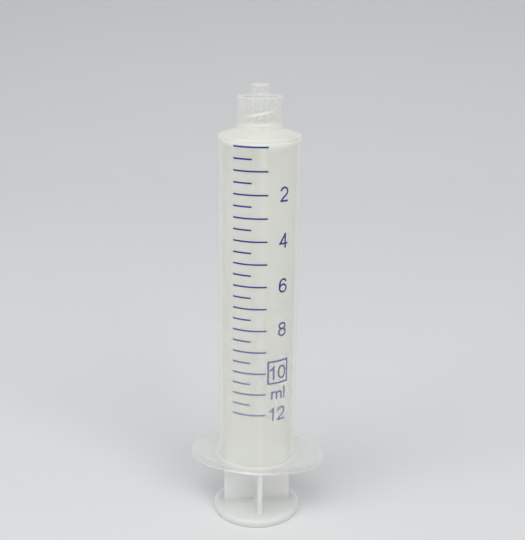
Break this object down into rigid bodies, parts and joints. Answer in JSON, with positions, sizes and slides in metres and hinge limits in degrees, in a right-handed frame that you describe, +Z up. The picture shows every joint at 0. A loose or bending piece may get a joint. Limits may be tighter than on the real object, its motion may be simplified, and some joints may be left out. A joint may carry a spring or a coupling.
{
  "type": "lock-tip syringe",
  "caption": "Translucent plastic lock-tip syringe: graduated barrel with an oval finger flange and a collar round its nozzle, and a cross-ribbed plunger with a thumb rest that slides in it.",
  "frame": {"origin": "centre of the underside of the thumb rest, on which the syringe stands", "axes": "+Z up along the barrel from the thumb rest to the nozzle, X along the wings of the finger flange"},
  "size_m": [0.0314, 0.0202, 0.1004],
  "materials": {
    "barrel": "moulded polypropylene, translucent and slightly hazy, smooth outside",
    "plunger": "moulded polyethylene, milky white, satin",
    "scale_ink": "blue printing ink on the outside of the barrel"
  },
  "bodies": {
    "plunger": {"plunger": "plunger"},
    "barrel": {"barrel": "barrel"}
  },
  "joints": [
    {"name": "plunger_slide", "type": "slide", "parent": "plunger", "child": "barrel", "axis": [0, 0, 1], "range_m": [0, 0.061]}
  ]
}
